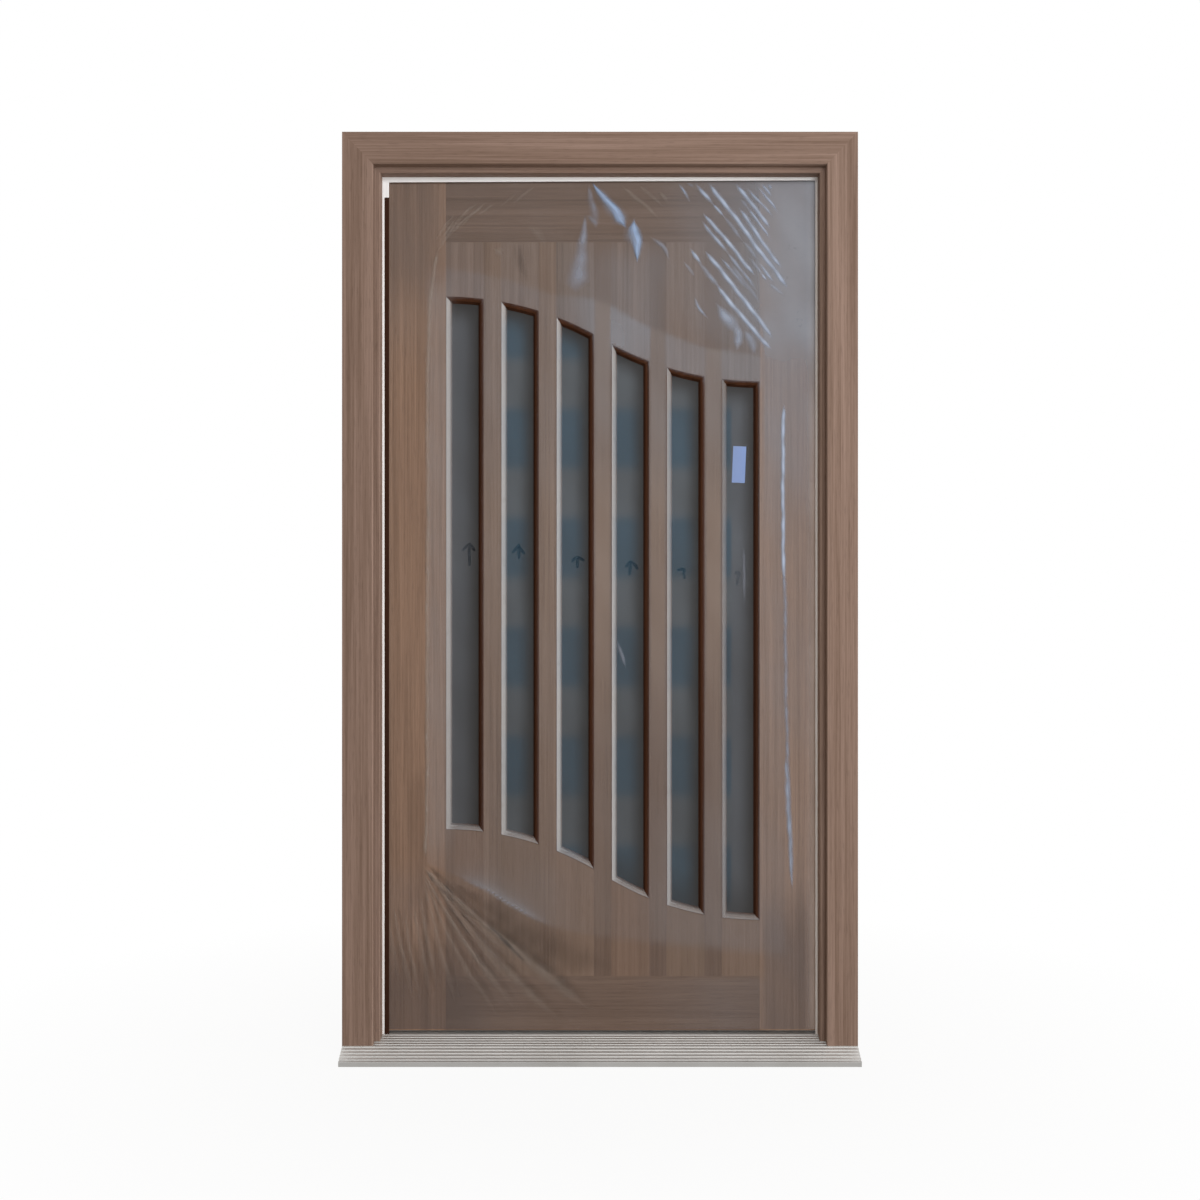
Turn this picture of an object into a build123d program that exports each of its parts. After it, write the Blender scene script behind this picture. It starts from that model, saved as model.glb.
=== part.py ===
from build123d import *
import os

# An entrance door set: a rebated hardwood frame on a ribbed aluminium threshold, and one wide
# inward-opening leaf with six tall lights whose heads and feet follow two S-curves.
# Millimetres. X runs along the wall, Y from the outer face into the building, Z up.
# The origin is under the middle of the sill, in the plane of the frame's outer face.

# Frame
frame_width = 1200.0
frame_height = 2159.0
jamb_face = 72.0
head_face = 75.0
stop_front = 25.0
stop_depth = 40.0
stop_projection = 13.0
rebate_lap = 18.0
arris = 2.0

# Sill and threshold
sill_projection = 52.0
nosing_height = 11.5
foot_height = 33.0
sill_height = 43.0
threshold_thickness = 4.5
front_groove_count = 5
back_groove_count = 5
groove_radius = 3.2
groove_depth = 2.0

# Weather strips
strip_thickness = 4.0
strip_bed = 8.0
strip_lip = 5.0
head_lip_closing = 12.0
head_lip_hanging = 7.0
blade_width = 10.5
blade_thickness = 3.0
blade_head_gap = 36.0

# Leaf
leaf_thickness = 44.0
side_gap = 6.5
top_gap = 5.0
bottom_gap = 6.0
face_gap = 6.0
closing_stile_width = 160.5
top_rail_height = 165.0
bottom_rail_height = 129.0

# Lights
light_count = 6
light_width = 90.0
mullion_width = 41.0
upper_panel_height = 129.0
upper_sweep_drop = 201.0
lower_panel_height = 347.0
lower_sweep_drop = 215.0

# Glazing
outer_bead_depth = 18.0
inner_bead_depth = 10.0
bead_edge = 1.0
chamfer_width = 9.0
chamfer_depth = 6.0
bead_width = 13.5
pane_thickness = 4.0
glass_clearance = 2.0
spacer_inset = 2.0
spacer_width = 6.5

# Protective film on the outer face of the leaf
film_thickness = 0.3
film_gap = 0.3
film_margin = 3.0

# Butt hinges
hinge_count = 3
hinge_height = 100.0
hinge_end_distance = 190.0
flap_width = 32.0
flap_thickness = 2.5
knuckle_count = 5
knuckle_radius = 6.5
knuckle_gap = 0.3
flap_relief = 0.5
pin_radius = 3.0
pin_clearance = 0.05

# Places worked out from the sizes above
half_width = frame_width / 2
stop_inward = jamb_face + stop_projection
strip_inward = stop_inward - strip_bed
rebate_inward = stop_inward - rebate_lap
stop_back = stop_front + stop_depth
strip_front = stop_back - strip_thickness
leaf_front = stop_back + face_gap
frame_depth = leaf_front + leaf_thickness
head_stretch = head_face / jamb_face
head_stop = frame_height - stop_inward * head_stretch
clear_half = half_width - stop_inward

rebate_half = half_width - rebate_inward
leaf_left = side_gap - rebate_half
leaf_right = rebate_half - side_gap
leaf_bottom = sill_height + bottom_gap
leaf_top = frame_height - rebate_inward * head_stretch - top_gap
rails_from = leaf_left + closing_stile_width
light_pitch = light_width + mullion_width
rails_to = rails_from + light_count * light_pitch - mullion_width
upper_line = leaf_top - top_rail_height
lower_line = leaf_bottom + bottom_rail_height
upper_sweep = upper_line - upper_panel_height
lower_sweep = lower_line + lower_panel_height
light_middle = (upper_sweep - upper_sweep_drop + lower_sweep) / 2

os.makedirs("parts", exist_ok=True)


def save(part, name):
    part.label = name
    export_step(part, f"parts/{name}.step")


def leaf_plane(depth=0.0):
    """Upright plane at a depth behind the leaf's outer face."""
    return Plane.XZ.offset(-(leaf_front + depth))


# Threshold: a ribbed aluminium tread over a hardwood sill, falling to a nosing in front.
def tread_height(y):
    """Height of the rib crests at a distance behind the frame's outer face."""
    if y < 0:
        return foot_height + y * (foot_height - nosing_height) / sill_projection
    return min(sill_height, foot_height + y * (sill_height - foot_height) / strip_front)


core_front = threshold_thickness - sill_projection
tread_line = [
    (0, foot_height),
    (strip_front, sill_height),
    (frame_depth, sill_height),
]
core_line = [(y, z - threshold_thickness) for y, z in tread_line]
core_line.insert(0, (core_front, tread_height(core_front) - threshold_thickness))
groove_places = []
for run_start, run_length, count in (
    (-sill_projection, sill_projection, front_groove_count),
    (0.0, strip_front, back_groove_count),
):
    for i in range(count):
        y = run_start + (i + 0.5) * run_length / count
        groove_places.append((y, tread_height(y) + groove_radius - groove_depth))

with BuildPart() as hardwood_sill:
    with BuildSketch(Plane.YZ.offset(-half_width)):
        with BuildLine():
            Polyline((core_front, 0), *core_line, (frame_depth, 0), close=True)
        make_face()
    extrude(amount=frame_width)
save(hardwood_sill.part, "hardwood_sill")

with BuildPart() as threshold:
    with BuildSketch(Plane.YZ.offset(-half_width)):
        with BuildLine():
            Polyline(
                (-sill_projection, 0),
                (-sill_projection, nosing_height),
                *tread_line,
                *reversed(core_line),
                (core_front, 0),
                close=True,
            )
        make_face()
        with Locations(*groove_places):
            Circle(groove_radius, mode=Mode.SUBTRACT)
    extrude(amount=frame_width)
save(threshold.part, "ribbed_threshold")


# Frame: two jambs and a head of one double-stepped section, mitred at the top corners.
# The feet of the jambs are scribed to the slope of the threshold.
def frame_section(stretch=1.0):
    """Corners of the section: distance in from the outer edge, depth behind the outer face."""
    corners = [
        (0, 0),
        (jamb_face - arris, 0),
        (jamb_face, arris),
        (jamb_face, stop_front),
        (stop_inward - arris, stop_front),
        (stop_inward, stop_front + arris),
        (stop_inward, strip_front),
        (strip_inward, strip_front),
        (strip_inward, stop_back),
        (rebate_inward, stop_back),
        (rebate_inward, frame_depth),
        (0, frame_depth),
    ]
    return [(inward * stretch, depth) for inward, depth in corners]


def mitre(side):
    """Plane through a top corner of the frame, from its outer to its inner edge."""
    return Plane(
        origin=(side * half_width, 0, frame_height),
        x_dir=(0, 1, 0),
        z_dir=(-side * head_face, 0, jamb_face),
    )


with BuildPart() as left_jamb:
    with BuildSketch():
        with BuildLine():
            Polyline(*[(inward - half_width, y) for inward, y in frame_section()], close=True)
        make_face()
    extrude(amount=frame_height)
    with BuildSketch(Plane.YZ):
        with BuildLine():
            Polyline((0, 0), *tread_line, (frame_depth, 0), close=True)
        make_face()
    extrude(amount=frame_width, both=True, mode=Mode.SUBTRACT)
    split(bisect_by=mitre(-1), keep=Keep.BOTTOM)
save(left_jamb.part, "left_jamb")

with BuildPart() as head:
    with BuildSketch(Plane.YZ.offset(-half_width)):
        with BuildLine():
            Polyline(*[(y, frame_height - u) for u, y in frame_section(head_stretch)], close=True)
        make_face()
    extrude(amount=frame_width)
    split(bisect_by=mitre(-1), keep=Keep.TOP)
    split(bisect_by=mitre(1), keep=Keep.TOP)
save(head.part, "head")

# Hinge places, shared by the mortises and the flaps
hinge_reach = leaf_top - leaf_bottom - 2 * hinge_end_distance
hinge_heights = []
for i in range(hinge_count):
    hinge_heights.append(leaf_bottom + hinge_end_distance + i * hinge_reach / (hinge_count - 1))
axis_x = (leaf_right + rebate_half) / 2
axis_y = frame_depth + knuckle_radius

with BuildPart() as right_jamb:
    mirror(left_jamb.part, about=Plane.YZ)
    with Locations(*[(rebate_half, frame_depth, z) for z in hinge_heights]):
        Box(
            flap_thickness,
            flap_width,
            hinge_height,
            align=(Align.MIN, Align.MAX, Align.CENTER),
            mode=Mode.SUBTRACT,
        )
save(right_jamb.part, "right_jamb")


# Weather strips: white strips bedded in the back corner of the stop, with a lip into the opening,
# and a dark rubber blade along the lip on the closing side, cut short of the head.
with BuildPart() as head_strip:
    with BuildSketch(Plane.XZ.offset(-stop_back)):
        with BuildLine():
            Polyline(
                (-clear_half - strip_bed, frame_height - strip_inward * head_stretch),
                (clear_half + strip_bed, frame_height - strip_inward * head_stretch),
                (clear_half + strip_bed, head_stop - head_lip_hanging),
                (clear_half - strip_lip, head_stop - head_lip_hanging),
                (strip_lip - clear_half, head_stop - head_lip_closing),
                (-clear_half - strip_bed, head_stop - head_lip_closing),
                close=True,
            )
        make_face()
    extrude(amount=strip_thickness)
save(head_strip.part, "head_strip")

for name, side, head_lip in (("left_strip", -1, head_lip_closing), ("right_strip", 1, head_lip_hanging)):
    with BuildPart() as side_strip:
        with BuildSketch(Plane.XY.offset(sill_height)):
            with Locations((side * (clear_half + strip_bed / 2 - strip_lip / 2), stop_back)):
                Rectangle(strip_bed + strip_lip, strip_thickness, align=(Align.CENTER, Align.MAX))
        extrude(amount=head_stop - head_lip - sill_height)
    save(side_strip.part, name)

with BuildPart() as rubber_blade:
    with BuildSketch(Plane.XY.offset(sill_height)):
        with Locations((strip_lip - clear_half, stop_back - strip_thickness / 2)):
            Rectangle(blade_width, blade_thickness, align=(Align.MIN, Align.CENTER))
    extrude(amount=head_stop - head_lip_closing - blade_head_gap - sill_height)
save(rubber_blade.part, "rubber_blade")


# Leaf framing: stiles, rails and mullions, all flush on both faces.
def leaf_member(x_from, x_to, z_from, z_to):
    with BuildPart() as member:
        with BuildSketch(leaf_plane()):
            with Locations((x_from, z_from)):
                Rectangle(x_to - x_from, z_to - z_from, align=Align.MIN)
        extrude(amount=-leaf_thickness)
    return member.part


save(leaf_member(leaf_left, rails_from, leaf_bottom, leaf_top), "closing_stile")
save(leaf_member(rails_from, rails_to, upper_line, leaf_top), "top_rail")
save(leaf_member(rails_from, rails_to, leaf_bottom, lower_line), "bottom_rail")

with BuildPart() as hanging_stile:
    add(leaf_member(rails_to, leaf_right, leaf_bottom, leaf_top))
    with Locations(*[(leaf_right, frame_depth, z) for z in hinge_heights]):
        Box(
            flap_thickness,
            flap_width,
            hinge_height,
            align=(Align.MAX, Align.MAX, Align.CENTER),
            mode=Mode.SUBTRACT,
        )
save(hanging_stile.part, "hanging_stile")

light_lefts = [rails_from + i * light_pitch for i in range(light_count)]
for i, light_left in enumerate(light_lefts[1:], start=1):
    save(leaf_member(light_left - mullion_width, light_left, lower_line, upper_line), f"mullion_{i}")


# Lights: the band between two S-curves, each of two equal arcs level at both ends, cut by the
# mullions into six openings. What is left above and below each opening is a flush panel.
def s_curve(start_height, drop):
    """Two tangent arcs that fall from the closing stile to the hanging stile."""
    half_way = ((rails_from + rails_to) / 2, start_height - drop / 2)
    falling = TangentArc((rails_from, start_height), half_way, tangent=(1, 0))
    TangentArc(half_way, (rails_to, start_height - drop), tangent=falling % 1)


with BuildSketch() as sweep_band:
    with BuildLine():
        s_curve(upper_sweep, upper_sweep_drop)
        Line((rails_to, upper_sweep - upper_sweep_drop), (rails_to, lower_sweep - lower_sweep_drop))
        s_curve(lower_sweep, lower_sweep_drop)
        Line((rails_from, lower_sweep), (rails_from, upper_sweep))
    make_face()


def light_outline(light_left):
    """The opening of one light."""
    with BuildSketch() as outline:
        add(sweep_band.sketch)
        with Locations((light_left, lower_line)):
            Rectangle(light_width, upper_line - lower_line, align=Align.MIN, mode=Mode.INTERSECT)
    return outline.sketch


def inset(outline, amount):
    return offset(outline, amount=-amount, kind=Kind.INTERSECTION, mode=Mode.PRIVATE)


def panel(light_left, z_from, z_to):
    """The part of a light's bay between two heights that the opening leaves."""
    with BuildPart() as infill:
        with BuildSketch(leaf_plane()):
            with Locations((light_left, z_from)):
                Rectangle(light_width, z_to - z_from, align=Align.MIN)
            add(sweep_band.sketch, mode=Mode.SUBTRACT)
        extrude(amount=-leaf_thickness)
    return infill.part


def splayed_bead(outline, splay):
    """A ring against the opening's edge. splay lists the inset of its front at depths behind the outer face."""
    face_depth = splay[0][1]
    glass_depth = splay[-1][1]
    with BuildPart() as bead:
        with BuildSketch(leaf_plane(face_depth)):
            add(outline)
        extrude(amount=face_depth - glass_depth)
        for (inset_from, depth_from), (inset_to, depth_to) in zip(splay, splay[1:]):
            with BuildSketch(leaf_plane(depth_from)):
                add(inset(outline, inset_from))
            with BuildSketch(leaf_plane(depth_to)):
                add(inset(outline, inset_to))
            loft(ruled=True, mode=Mode.SUBTRACT)
    return bead.part


outlines = [light_outline(light_left) for light_left in light_lefts]
inner_bead_front = leaf_thickness - inner_bead_depth
inner_pane_depth = inner_bead_front - pane_thickness
outer_splay = [(bead_edge, 0.0), (chamfer_width, chamfer_depth), (bead_width, outer_bead_depth)]
inner_splay = [(bead_edge, leaf_thickness), (bead_width, inner_bead_front)]

for i in range(light_count):
    number = i + 1
    save(panel(light_lefts[i], light_middle, upper_line), f"upper_panel_{number}")
    save(panel(light_lefts[i], lower_line, light_middle), f"lower_panel_{number}")
    save(splayed_bead(outlines[i], outer_splay), f"outer_bead_{number}")

    # Two panes of a sealed unit, held between the outer and the inner bead
    with BuildPart() as glass:
        for depth in (outer_bead_depth, inner_pane_depth):
            with BuildSketch(leaf_plane(depth)):
                add(inset(outlines[i], glass_clearance))
            extrude(amount=-pane_thickness)
    save(glass.part, f"glass_{number}")

with BuildPart() as spacer_bars:
    for outline in outlines:
        with BuildSketch(leaf_plane(outer_bead_depth + pane_thickness)):
            add(inset(outline, glass_clearance + spacer_inset))
            add(inset(outline, glass_clearance + spacer_inset + spacer_width), mode=Mode.SUBTRACT)
        extrude(amount=outer_bead_depth + pane_thickness - inner_pane_depth)
save(spacer_bars.part, "spacer_bars")

with BuildPart() as inner_beads:
    for outline in outlines:
        add(splayed_bead(outline, inner_splay))
save(inner_beads.part, "inner_beads")


# Protective film, drawn over the whole outer face of the leaf.
with BuildPart() as film:
    with BuildSketch(leaf_plane(-film_gap)):
        with Locations((leaf_left + film_margin, leaf_bottom + film_margin)):
            Rectangle(
                leaf_right - leaf_left - 2 * film_margin,
                leaf_top - leaf_bottom - 2 * film_margin,
                align=Align.MIN,
            )
    extrude(amount=film_thickness)
save(film.part, "protective_film")


# Butt hinges on the inner side: flaps let into the jamb and the stile, knuckles in turn on one pin.
def hinge_flap(plate_x, plate_align, height, first_knuckle):
    """One flap: its plate, and every other knuckle starting with number 0, which carries the pin, or 1."""
    knuckle_pitch = hinge_height / knuckle_count
    foot = height - hinge_height / 2
    with BuildPart() as flap:
        with Locations((plate_x, frame_depth - flap_width, foot)):
            Box(
                flap_thickness,
                flap_width + knuckle_radius,
                hinge_height,
                align=(plate_align, Align.MIN, Align.MIN),
            )
        for i in range(1 - first_knuckle, knuckle_count, 2):
            with Locations((plate_x, frame_depth - flap_relief, foot + i * knuckle_pitch)):
                Box(
                    2 * flap_thickness,
                    flap_relief + knuckle_radius,
                    knuckle_pitch,
                    align=(Align.CENTER, Align.MIN, Align.MIN),
                    mode=Mode.SUBTRACT,
                )
        for i in range(first_knuckle, knuckle_count, 2):
            with Locations((axis_x, axis_y, foot + i * knuckle_pitch + knuckle_gap / 2)):
                Cylinder(
                    knuckle_radius,
                    knuckle_pitch - knuckle_gap,
                    align=(Align.CENTER, Align.CENTER, Align.MIN),
                )
        with Locations((axis_x, axis_y, foot)):
            if first_knuckle == 0:
                Cylinder(pin_radius, hinge_height, align=(Align.CENTER, Align.CENTER, Align.MIN))
            else:
                Cylinder(
                    pin_radius + pin_clearance,
                    hinge_height,
                    align=(Align.CENTER, Align.CENTER, Align.MIN),
                    mode=Mode.SUBTRACT,
                )
    return flap.part


for number, height in enumerate(hinge_heights, start=1):
    save(hinge_flap(rebate_half, Align.MIN, height, 0), f"hinge_{number}_frame_flap")
    save(hinge_flap(leaf_right, Align.MAX, height, 1), f"hinge_{number}_leaf_flap")
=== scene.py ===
import math

import bmesh
import bpy
import numpy as np
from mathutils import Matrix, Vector


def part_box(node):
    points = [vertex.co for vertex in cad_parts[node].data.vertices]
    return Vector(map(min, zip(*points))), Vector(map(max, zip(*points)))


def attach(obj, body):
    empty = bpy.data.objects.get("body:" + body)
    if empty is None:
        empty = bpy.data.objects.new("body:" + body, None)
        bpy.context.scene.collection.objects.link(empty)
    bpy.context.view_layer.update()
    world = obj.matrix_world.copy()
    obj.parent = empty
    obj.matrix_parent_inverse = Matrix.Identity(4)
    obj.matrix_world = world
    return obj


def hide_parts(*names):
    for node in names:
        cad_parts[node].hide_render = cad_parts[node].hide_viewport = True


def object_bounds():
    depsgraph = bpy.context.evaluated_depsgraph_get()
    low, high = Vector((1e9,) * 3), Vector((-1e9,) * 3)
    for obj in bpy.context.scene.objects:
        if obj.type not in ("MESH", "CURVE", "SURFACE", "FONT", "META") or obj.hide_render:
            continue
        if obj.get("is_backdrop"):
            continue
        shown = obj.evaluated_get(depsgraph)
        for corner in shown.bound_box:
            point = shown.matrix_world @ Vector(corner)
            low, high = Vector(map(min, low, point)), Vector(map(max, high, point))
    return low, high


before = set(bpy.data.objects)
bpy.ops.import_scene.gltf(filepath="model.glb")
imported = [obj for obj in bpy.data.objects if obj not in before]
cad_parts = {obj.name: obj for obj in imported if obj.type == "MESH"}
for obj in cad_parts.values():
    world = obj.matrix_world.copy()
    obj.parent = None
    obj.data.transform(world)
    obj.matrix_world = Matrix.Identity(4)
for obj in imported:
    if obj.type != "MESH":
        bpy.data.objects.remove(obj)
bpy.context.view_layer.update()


# Frame: two jambs and a head of planed hardwood, moulded to one double-stepped section and
# mitred at the top corners. The grain runs along each piece and turns on the mitre.
mm = 0.001


def paint(code):
    """A linear colour from an sRGB hex code."""
    channels = [int(code[i:i + 2], 16) / 255 for i in (1, 3, 5)]
    return [c / 12.92 if c <= 0.04045 else ((c + 0.055) / 1.055) ** 2.4 for c in channels] + [1.0]


def add_node(tree, kind, inputs=None, **settings):
    """Adds a node, sets its properties, and fills its inputs with values or links."""
    made = tree.nodes.new(kind)
    for name, value in settings.items():
        setattr(made, name, value)
    for name, value in (inputs or {}).items():
        if isinstance(value, bpy.types.NodeSocket):
            tree.links.new(value, made.inputs[name])
        else:
            made.inputs[name].default_value = value
    return made


def new_finish(name, **constants):
    """An empty material, its node tree and its shader, with the shader's constant values set."""
    material = bpy.data.materials.new(name)
    material.use_nodes = True
    tree = material.node_tree
    tree.nodes.clear()
    shader = add_node(tree, "ShaderNodeBsdfPrincipled")
    for socket, value in constants.items():
        shader.inputs[socket.replace("_", " ")].default_value = value
    add_node(tree, "ShaderNodeOutputMaterial", {"Surface": shader.outputs["BSDF"]})
    return material, tree, shader


def planed_hardwood(name, grain, pale, deep, shift, roughness=0.62, gloss=0.2):
    """Close-grained reddish hardwood, planed: soft ribbons of tone, fine streaks and short pores.

    The pores of the real wood are under 0.3 mm wide, so they are drawn coarser to show.
    Bare or stained, the wood scatters the light in its fibres and has little gloss.
    """
    material, tree, shader = new_finish(name, Specular_IOR_Level=gloss)
    place = add_node(tree, "ShaderNodeTexCoord").outputs["Object"]

    def along_grain(width, length, **detail):
        scale = [1 / width] * 3
        scale["XYZ".index(grain)] = 1 / length
        mapped = add_node(tree, "ShaderNodeMapping", {"Vector": place, "Location": shift, "Scale": scale})
        noise = {"Vector": mapped.outputs["Vector"], "Scale": 1.0, **detail}
        return add_node(tree, "ShaderNodeTexNoise", noise).outputs["Fac"]

    ribbon = along_grain(17 * mm, 1500 * mm, Detail=2.0, Roughness=0.5, Distortion=0.4)
    streak = along_grain(3.6 * mm, 300 * mm, Detail=3.0, Roughness=0.6)
    pore = along_grain(1.9 * mm, 34 * mm, Detail=1.0)
    tone = add_node(tree, "ShaderNodeMath", {0: ribbon, 1: streak}, operation="ADD").outputs[0]
    tone = add_node(
        tree, "ShaderNodeMapRange",
        {"Value": tone, "From Min": 0.72, "From Max": 1.28},
    ).outputs[0]
    wood = add_node(tree, "ShaderNodeMix", {0: tone, 6: paint(deep), 7: paint(pale)}, data_type="RGBA")
    dash = add_node(
        tree, "ShaderNodeMapRange",
        {"Value": pore, "From Min": 0.56, "From Max": 0.74, "To Max": 0.2},
    )
    pore_brown = paint("#2C1B12")
    dark = add_node(
        tree, "ShaderNodeMix",
        {0: dash.outputs[0], 6: wood.outputs[2], 7: pore_brown}, data_type="RGBA",
    )
    relief = add_node(tree, "ShaderNodeMath", {0: streak, 1: dash.outputs[0]}, operation="SUBTRACT")
    bump = add_node(
        tree, "ShaderNodeBump",
        {"Height": relief.outputs[0], "Strength": 0.3, "Distance": 0.2 * mm},
    )
    sheen = add_node(
        tree, "ShaderNodeMapRange",
        {"Value": streak, "To Min": roughness + 0.08, "To Max": roughness - 0.08},
    )
    tree.links.new(dark.outputs[2], shader.inputs["Base Color"])
    tree.links.new(sheen.outputs[0], shader.inputs["Roughness"])
    tree.links.new(bump.outputs["Normal"], shader.inputs["Normal"])
    return material


def dress(node_name, material):
    """Gives a CAD node its finish."""
    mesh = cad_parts[node_name].data
    mesh.materials.clear()
    mesh.materials.append(material)


frame_tones = ("#957D6F", "#745E50")
dress("left_jamb", planed_hardwood("jamb_hardwood_left", "Z", *frame_tones, (0.1, 0.4, 0.2)))
dress("right_jamb", planed_hardwood("jamb_hardwood_right", "Z", *frame_tones, (2.7, 1.3, 0.9)))
dress("head", planed_hardwood("head_hardwood", "X", *frame_tones, (0.6, 3.1, 1.7)))


# Sill: a hardwood bed under the threshold, of the same timber left rougher from the saw.
# Only its back, below the leaf on the inner side, its underside and its two ends show.
sawn_hardwood = planed_hardwood("sawn_hardwood", "X", "#7A6557", "#5B493D", (4.2, 0.3, 2.2), roughness=0.8)
dress("hardwood_sill", sawn_hardwood)


# Threshold: an extruded aluminium tread in mill finish, ribbed across the path of the foot and
# screwed down on the sill. Die lines run along its length, the metal is clouded by handling, and
# the nosing in front is darker towards its foot.
def extruded_metal(name, grain, pale, deep, roughness):
    """Bare extruded or drawn metal: satin, clouded, with fine lines along the way it was drawn.

    The real lines are under 0.3 mm apart, so they are drawn coarser to show.
    """
    material, tree, shader = new_finish(name, Metallic=1.0)
    place = add_node(tree, "ShaderNodeTexCoord").outputs["Object"]
    line_width = 1.5 * mm
    line_length = 260 * mm
    scale = [1 / line_width] * 3
    scale["XYZ".index(grain)] = 1 / line_length
    mapped = add_node(tree, "ShaderNodeMapping", {"Vector": place, "Scale": scale})
    lines = add_node(
        tree, "ShaderNodeTexNoise",
        {"Vector": mapped.outputs["Vector"], "Scale": 1.0, "Detail": 2.0},
    )
    cloud = add_node(tree, "ShaderNodeTexNoise", {"Vector": place, "Scale": 1 / (90 * mm), "Detail": 4.0})
    dull = add_node(
        tree, "ShaderNodeMapRange",
        {"Value": lines.outputs["Fac"], "To Min": roughness - 0.09, "To Max": roughness + 0.09},
    )
    tint = add_node(
        tree, "ShaderNodeMix",
        {0: cloud.outputs["Fac"], 6: paint(deep), 7: paint(pale)}, data_type="RGBA",
    )
    bump = add_node(
        tree, "ShaderNodeBump",
        {"Height": lines.outputs["Fac"], "Strength": 0.2, "Distance": 0.1 * mm},
    )
    tree.links.new(tint.outputs[2], shader.inputs["Base Color"])
    tree.links.new(dull.outputs[0], shader.inputs["Roughness"])
    tree.links.new(bump.outputs["Normal"], shader.inputs["Normal"])
    return material


def shade_base(material, shade):
    """Multiplies the colour of a finish by a grey or a colour from the same node tree."""
    tree = material.node_tree
    shader = next(node for node in tree.nodes if node.type == "BSDF_PRINCIPLED")
    colour = shader.inputs["Base Color"].links[0].from_socket
    shaded = add_node(
        tree, "ShaderNodeMix",
        {0: 1.0, 6: colour, 7: shade}, data_type="RGBA", blend_type="MULTIPLY",
    )
    tree.links.new(shaded.outputs[2], shader.inputs["Base Color"])


tread = extruded_metal("mill_finish_aluminium", "X", "#DDDBD8", "#C8C5C1", roughness=0.55)
# The colour is darkened below 15 mm on the nosing, and darker still below 9 mm.
darkest_below = 9 * mm
plain_above = 15 * mm
tread_place = add_node(tread.node_tree, "ShaderNodeTexCoord").outputs["Object"]
tread_height = add_node(tread.node_tree, "ShaderNodeSeparateXYZ", {0: tread_place}).outputs["Z"]
foot_darkening = add_node(
    tread.node_tree, "ShaderNodeMapRange",
    {"Value": tread_height, "From Min": darkest_below, "From Max": plain_above, "To Min": 0.66, "To Max": 1.0},
)
shade_base(tread, foot_darkening.outputs[0])
dress("ribbed_threshold", tread)


# Weather strips: white PVC pressed into the back corner of the stop on three sides, and a dark
# brown rubber blade slipped on the strip's lip on the closing side, whose dark brown is painted shade
# for the shadowed gap beside the leaf. The blade is cut short of the head, and the bare white lip
# shows above it.
def moulded_skin(name, pale, deep, grit, roughness, bump_strength, **constants):
    """An even moulded, extruded or rolled skin: faint clouding and a fine grit.

    The real grit is under 0.3 mm, so it is drawn coarser to show.
    """
    material, tree, shader = new_finish(name, **constants)
    place = add_node(tree, "ShaderNodeTexCoord").outputs["Object"]
    cloud = add_node(tree, "ShaderNodeTexNoise", {"Vector": place, "Scale": 1 / (60 * mm), "Detail": 3.0})
    grain = add_node(tree, "ShaderNodeTexNoise", {"Vector": place, "Scale": 1 / grit, "Detail": 2.0})
    tint = add_node(
        tree, "ShaderNodeMix",
        {0: cloud.outputs["Fac"], 6: paint(deep), 7: paint(pale)}, data_type="RGBA",
    )
    dull = add_node(
        tree, "ShaderNodeMapRange",
        {"Value": grain.outputs["Fac"], "To Min": roughness - 0.07, "To Max": roughness + 0.07},
    )
    bump = add_node(
        tree, "ShaderNodeBump",
        {"Height": grain.outputs["Fac"], "Strength": bump_strength, "Distance": 0.1 * mm},
    )
    tree.links.new(tint.outputs[2], shader.inputs["Base Color"])
    tree.links.new(dull.outputs[0], shader.inputs["Roughness"])
    tree.links.new(bump.outputs["Normal"], shader.inputs["Normal"])
    return material


white_pvc = moulded_skin(
    "white_pvc", "#FCFBF8", "#F2F0EC", grit=1.2 * mm, roughness=0.4, bump_strength=0.1,
)
for name in ("head_strip", "left_strip", "right_strip"):
    dress(name, white_pvc)
# The blade's dark brown is painted shade for the gap on the closing side.
brown_rubber = moulded_skin(
    "brown_rubber", "#3A2114", "#2A160C", grit=0.8 * mm, roughness=0.7, bump_strength=0.3,
    Specular_IOR_Level=0.2,
)
dress("rubber_blade", brown_rubber)


def new_piece(name, mesh, material, body):
    """Puts a finished mesh in the scene as a piece that moves with a body."""
    mesh.materials.clear()
    mesh.materials.append(material)
    piece = bpy.data.objects.new(name, mesh)
    bpy.context.scene.collection.objects.link(piece)
    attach(piece, body)
    return piece


blade_low, blade_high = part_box("rubber_blade")
lip_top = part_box("head_strip")[0].z
lip_middle = (blade_low.y + blade_high.y) / 2
lip_radius = (blade_high.y - blade_low.y) / 2
nose_points = 9
lip_outline = [(blade_low.x, lip_middle - lip_radius)]
for turn in np.linspace(-math.pi / 2, math.pi / 2, nose_points):
    nose = blade_high.x - lip_radius + lip_radius * math.cos(turn)
    lip_outline.append((nose, lip_middle + lip_radius * math.sin(turn)))
lip_outline.append((blade_low.x, lip_middle + lip_radius))
lip = bmesh.new()
low_ring = [lip.verts.new((x, y, blade_high.z)) for x, y in lip_outline]
high_ring = [lip.verts.new((x, y, lip_top)) for x, y in lip_outline]
lip.faces.new(low_ring)
lip.faces.new(high_ring)
for i in range(len(low_ring)):
    lip.faces.new((low_ring[i - 1], low_ring[i], high_ring[i], high_ring[i - 1]))
bmesh.ops.recalc_face_normals(lip, faces=lip.faces[:])
lip_mesh = bpy.data.meshes.new("strip_lip")
lip.to_mesh(lip_mesh)
lip.free()
new_piece("strip_lip", lip_mesh, white_pvc, "frame")
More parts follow.
